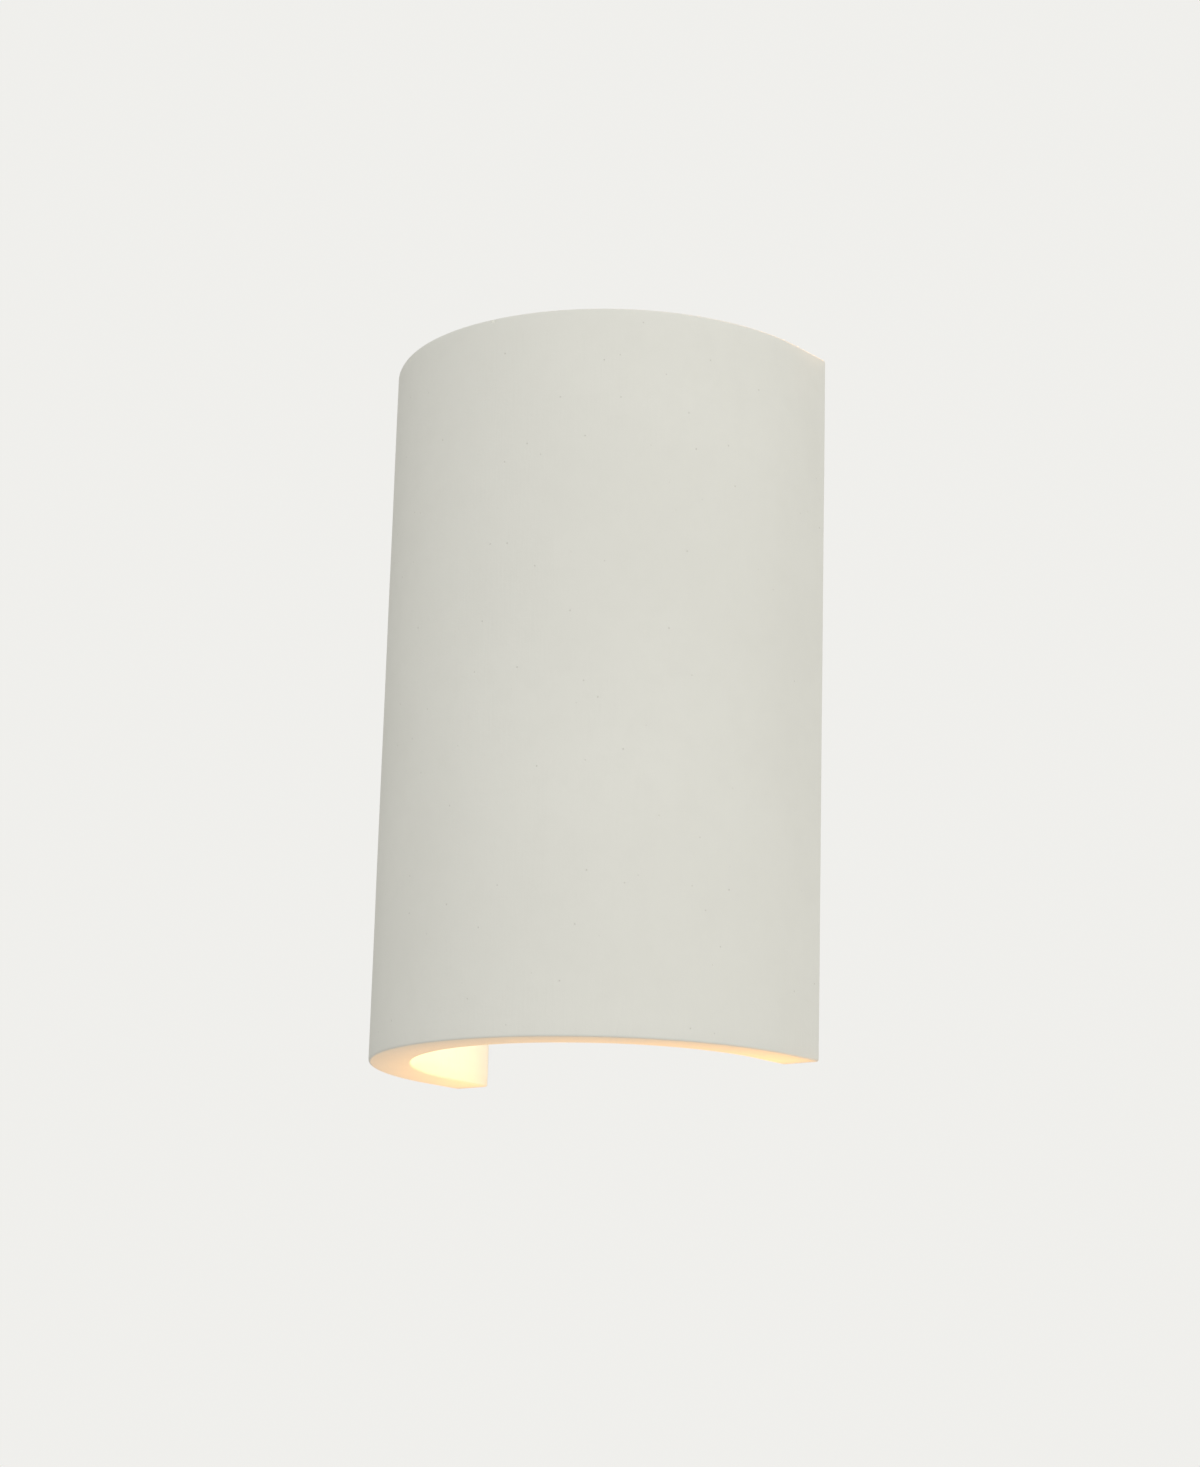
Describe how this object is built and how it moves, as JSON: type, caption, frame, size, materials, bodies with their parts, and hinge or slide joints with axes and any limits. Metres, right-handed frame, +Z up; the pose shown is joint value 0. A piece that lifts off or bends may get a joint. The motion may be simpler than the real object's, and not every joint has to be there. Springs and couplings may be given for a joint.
{
  "type": "uplighter wall sconce",
  "caption": "Half-round plaster wall light, open at top and bottom, with a hook-on shade, steel wall bracket and plug-in capsule lamp.",
  "frame": {"origin": "on the wall plane at the middle of the two wall-fixing slots, level with the shade's mid-height", "axes": "+X across the light, +Y into the wall, +Z up; the shade faces -Y"},
  "size_m": [0.115, 0.071, 0.18],
  "materials": {
    "plaster": "unglazed cast gypsum plaster, smooth and matt, ready to paint",
    "powder_coated_steel": "white powder coat, semi-matt",
    "zinc_steel": "bright zinc plate",
    "brass": "turned brass",
    "tinned_copper": "tin plate",
    "white_nylon": "natural white nylon",
    "black_rubber": "moulded rubber",
    "white_ceramic": "unglazed steatite",
    "brown_sleeving": "silicone sleeving",
    "blue_sleeving": "silicone sleeving",
    "green_yellow_sleeving": "striped silicone sleeving",
    "lamp_base_white": "moulded lamp base",
    "clear_glass": "clear lamp envelope",
    "lamp_board": "white-coated chip carrier",
    "lamp_phosphor": "warm white light chips"
  },
  "bodies": {
    "bracket": {"wall_bracket": "powder_coated_steel", "cable_bush": "black_rubber", "earth_ring_terminal": "tinned_copper", "earth_washer": "zinc_steel", "earth_screw": "zinc_steel", "terminal_block": "white_nylon", "terminal_clamps": "brass", "terminal_screws": "zinc_steel", "terminal_block_screws": "zinc_steel", "lampholder_arm": "powder_coated_steel", "arm_screws": "zinc_steel", "lampholder": "white_ceramic", "lampholder_contacts": "tinned_copper", "lampholder_screws": "zinc_steel", "lampholder_nuts": "zinc_steel", "live_lead": "brown_sleeving", "neutral_lead": "blue_sleeving", "earth_lead": "green_yellow_sleeving", "lead_ferrules": "tinned_copper"},
    "lamp": {"lamp_base": "lamp_base_white", "lamp_pins": "tinned_copper", "lamp_envelope": "clear_glass", "lamp_core": "lamp_board", "lamp_chips": "lamp_phosphor"},
    "shade": {"plaster_shade": "plaster", "hanger_plate_left": "zinc_steel", "hanger_plate_right": "zinc_steel", "hanger_pins": "zinc_steel", "hanger_inserts": "brass", "hanger_screws": "zinc_steel"}
  },
  "joints": [
    {"name": "lamp_pull", "type": "slide", "parent": "bracket", "child": "lamp", "axis": [0, 0, 1], "range_m": [0, 0.012]},
    {"name": "shade_lift", "type": "slide", "parent": "bracket", "child": "shade", "axis": [0, 0, 1], "range_m": [0, 0.01]}
  ]
}
